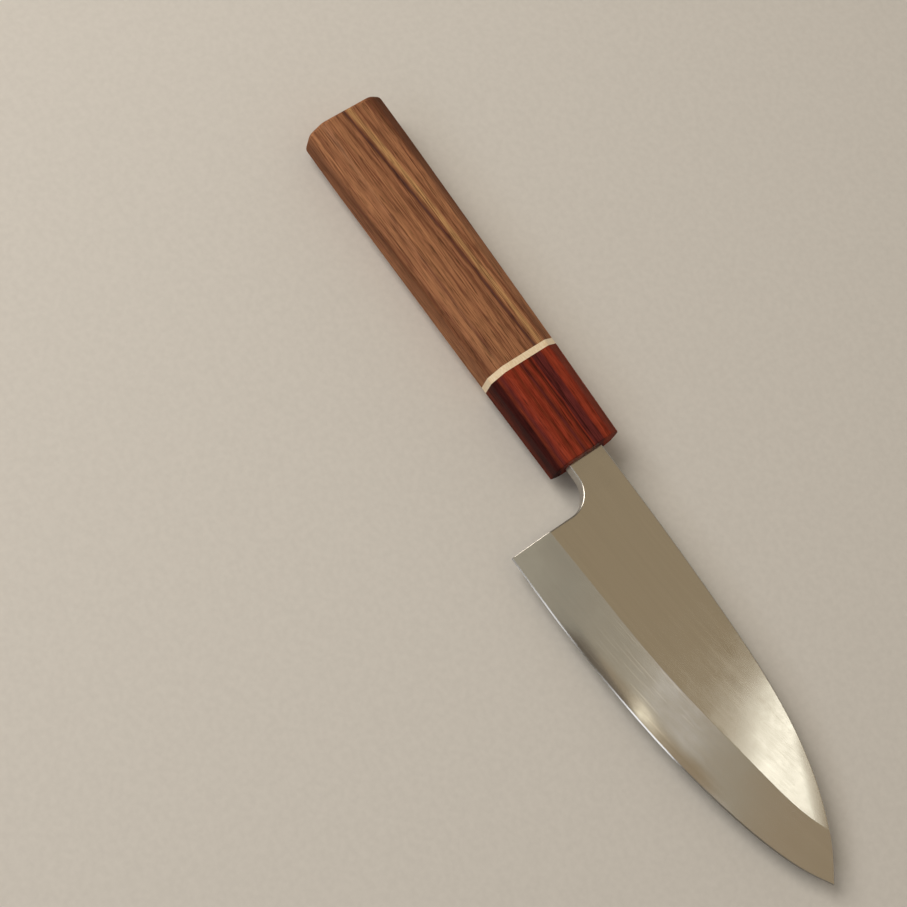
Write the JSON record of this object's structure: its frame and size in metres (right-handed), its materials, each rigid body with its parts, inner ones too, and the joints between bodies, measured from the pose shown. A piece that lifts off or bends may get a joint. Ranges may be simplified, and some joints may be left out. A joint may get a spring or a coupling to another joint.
{
  "type": "deba knife",
  "caption": "Heavy single-bevel deba kitchen knife with a polished steel blade, octagonal walnut handle, pale spacer and red wood ferrule.",
  "frame": {"origin": "middle of the knife's length and width, level with the lowest line of the handle", "axes": "+X along the handle's axis to the tip, +Y from the cutting edge to the spine, +Z out of the bevelled face of the blade"},
  "size_m": [0.2852, 0.053, 0.0192],
  "materials": {
    "blade": "satin ground",
    "ferrule": "polished red wood with dark stripes",
    "spacer_ring": "polished pale wood",
    "handle_body": "satin oiled walnut",
    "tang_dowel": "raw",
    "tang_bedding": "cured resin"
  },
  "bodies": {
    "root": {"blade": "blade", "ferrule": "ferrule", "spacer_ring": "spacer_ring", "handle_body": "handle_body", "tang_dowel": "tang_dowel", "tang_bedding": "tang_bedding"}
  },
  "joints": []
}
